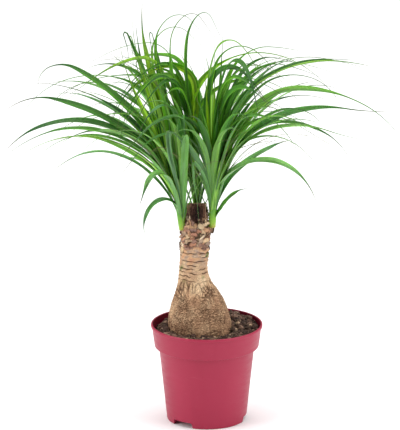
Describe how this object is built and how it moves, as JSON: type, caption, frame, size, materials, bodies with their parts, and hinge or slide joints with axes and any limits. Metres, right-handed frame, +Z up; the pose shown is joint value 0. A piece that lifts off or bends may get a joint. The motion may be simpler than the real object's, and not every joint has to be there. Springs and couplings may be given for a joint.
{
  "type": "potted ponytail palm",
  "caption": "House plant in a plastic nursery pot: a swollen bottle-shaped trunk with a sawn-off stump and tufts of long arching strap leaves.",
  "frame": {"origin": "centre of the pot's base, on the ground plane", "axes": "+Z up along the pot's axis, -Y towards the front, +X to the right seen from the front"},
  "size_m": [0.4222, 0.2981, 0.4579],
  "materials": {
    "pot_plastic": "satin, crimson",
    "soil_peat": "rough, dark crumbly peat",
    "trunk_bark": "rough, fissured corky bark",
    "leaf_green": "satin"
  },
  "bodies": {
    "root": {"pot": "pot_plastic", "soil": "soil_peat", "trunk": "trunk_bark", "shoot_left": "leaf_green", "shoot_right": "leaf_green", "shoot_back": "leaf_green"}
  },
  "joints": []
}
